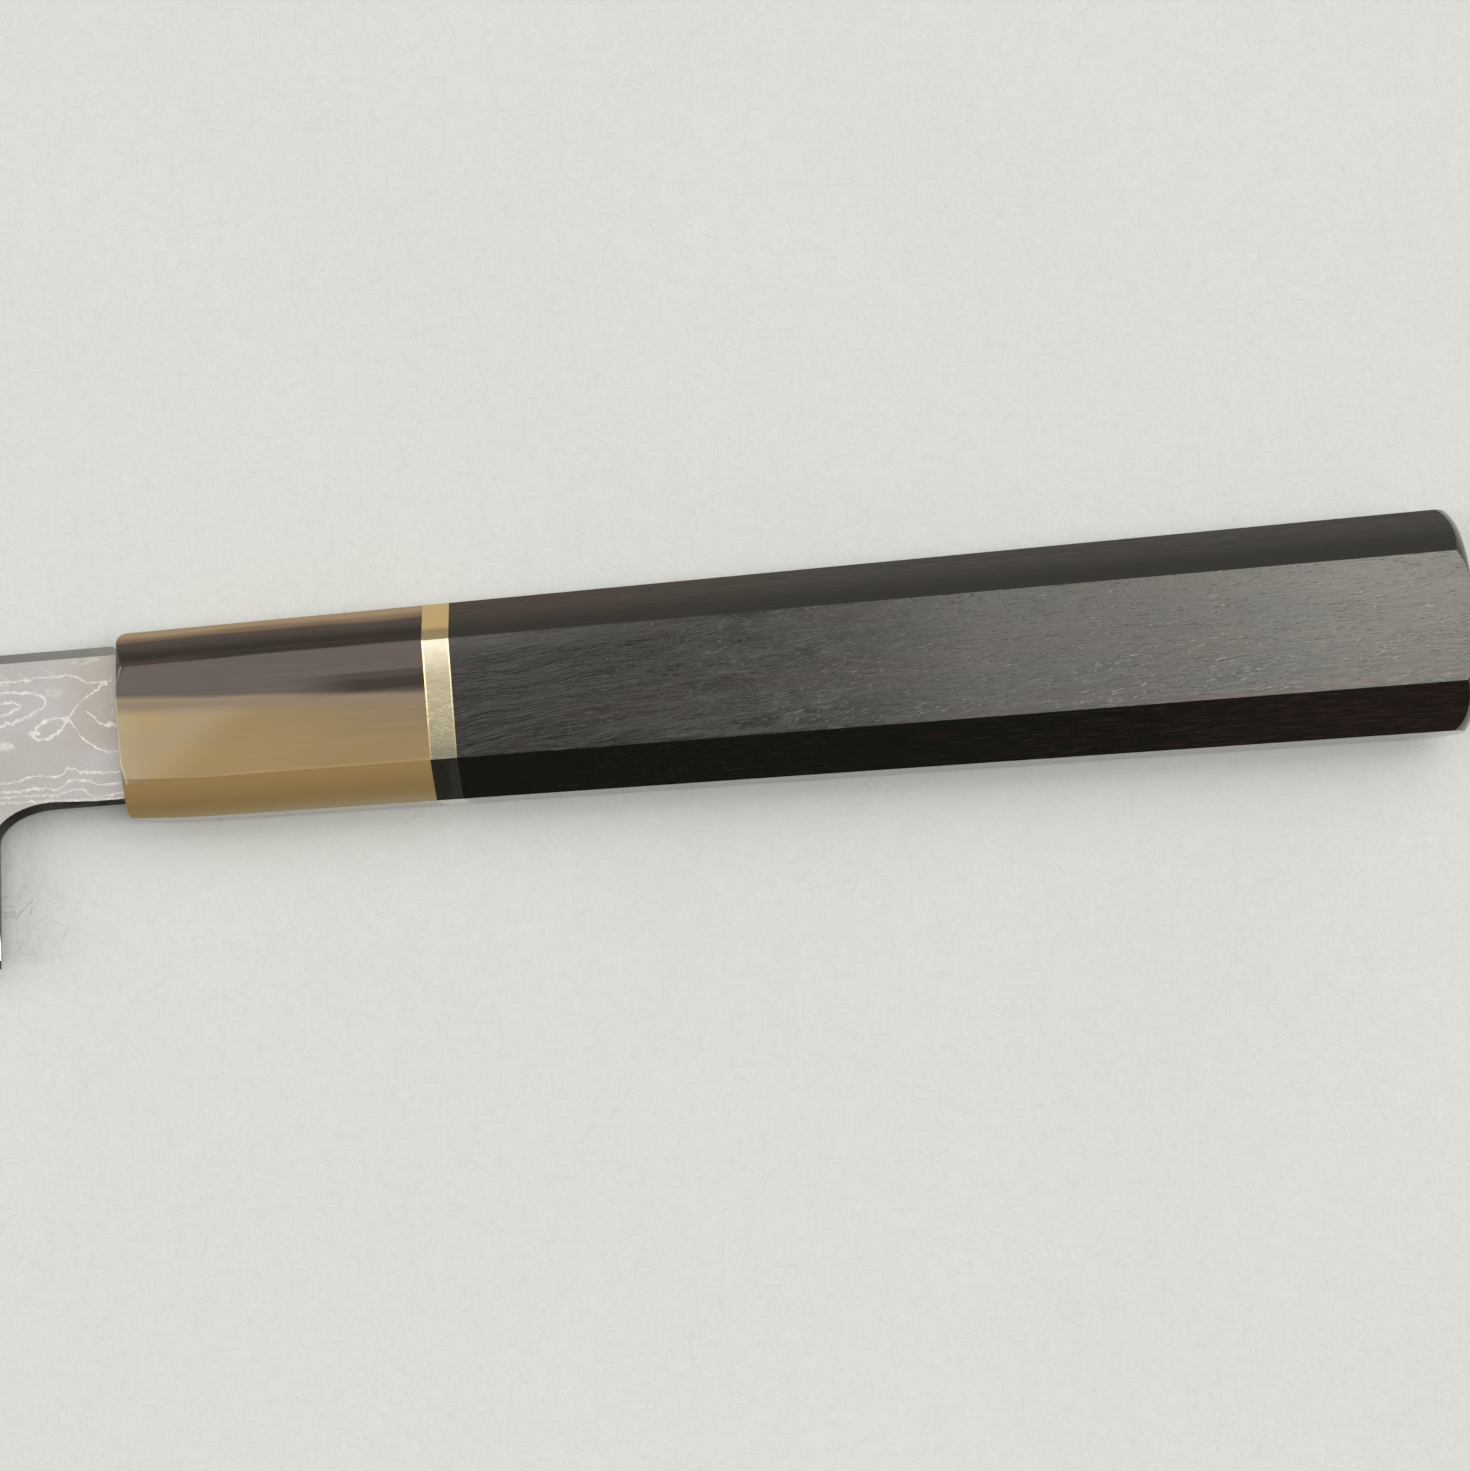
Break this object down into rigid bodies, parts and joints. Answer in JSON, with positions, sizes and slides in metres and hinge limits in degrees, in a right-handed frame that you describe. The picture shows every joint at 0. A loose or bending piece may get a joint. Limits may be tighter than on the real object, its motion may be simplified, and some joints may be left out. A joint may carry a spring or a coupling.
{
  "type": "slicing knife",
  "caption": "Slicing knife with a long narrow laminated blade, a rounded choil and a straight eight-sided handle with a horn ferrule and a metal ring.",
  "frame": {"origin": "centre of the ferrule's front face, on the handle's axis, where the blade's neck meets the handle", "axes": "+X runs along the handle to the butt and -X along the blade to the tip, +Y points from the edge to the spine, +Z points out of the blade's left side"},
  "size_m": [0.397, 0.0356, 0.0204],
  "materials": {
    "core": "bright fine-ground steel",
    "cladding": "matte etched steel with a pale wavy layer pattern",
    "horn": "polished marbled horn, blond with a dark streak",
    "brass": "polished brass, lightly scratched",
    "ebony": "satin oiled ebony with fine grain",
    "dowel_wood": "plain pale hardwood",
    "resin": "set amber resin"
  },
  "bodies": {
    "root": {"core_steel": "core", "left_cladding": "cladding", "right_cladding": "cladding", "horn_ferrule": "horn", "brass_spacer_ring": "brass", "ebony_grip": "ebony", "tenon_dowel": "dowel_wood", "tang_bedding": "resin"}
  },
  "joints": []
}
